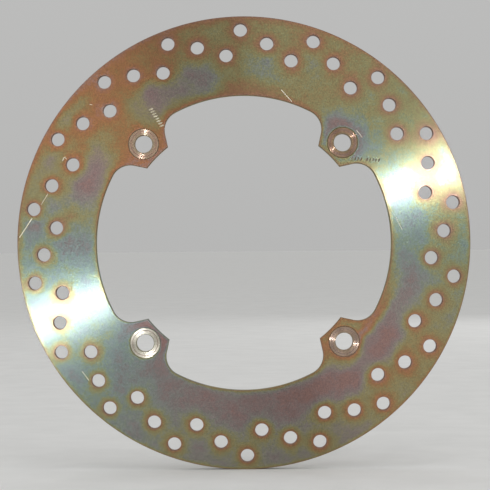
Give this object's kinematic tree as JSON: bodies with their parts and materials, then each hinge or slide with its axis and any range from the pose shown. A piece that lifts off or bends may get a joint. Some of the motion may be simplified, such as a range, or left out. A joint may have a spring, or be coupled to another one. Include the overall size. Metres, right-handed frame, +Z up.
{
  "type": "brake disc rotor",
  "caption": "Flat round motorcycle rear brake disc with slanted rows of vent holes, inward mounting lugs and seat collars in their bolt holes.",
  "frame": {"origin": "centre of the disc, on its spin axis, half way through its thickness", "axes": "the disc stands upright: +Y is the spin axis and points out of the face that meets the hub, -Y out of the face that the bolt heads sit on, +Z up, and the lugs are at 45 degrees to X and Z"},
  "size_m": [0.22, 0.005, 0.22],
  "materials": {
    "plated_steel": "rotary-ground steel, zinc plated and yellow passivated, iridescent",
    "turned_steel": "finely turned steel, zinc plated and yellow passivated"
  },
  "bodies": {
    "root": {"rotor_plate": "plated_steel", "seat_collar_1": "turned_steel", "seat_collar_2": "turned_steel", "seat_collar_3": "turned_steel", "seat_collar_4": "turned_steel"}
  },
  "joints": []
}
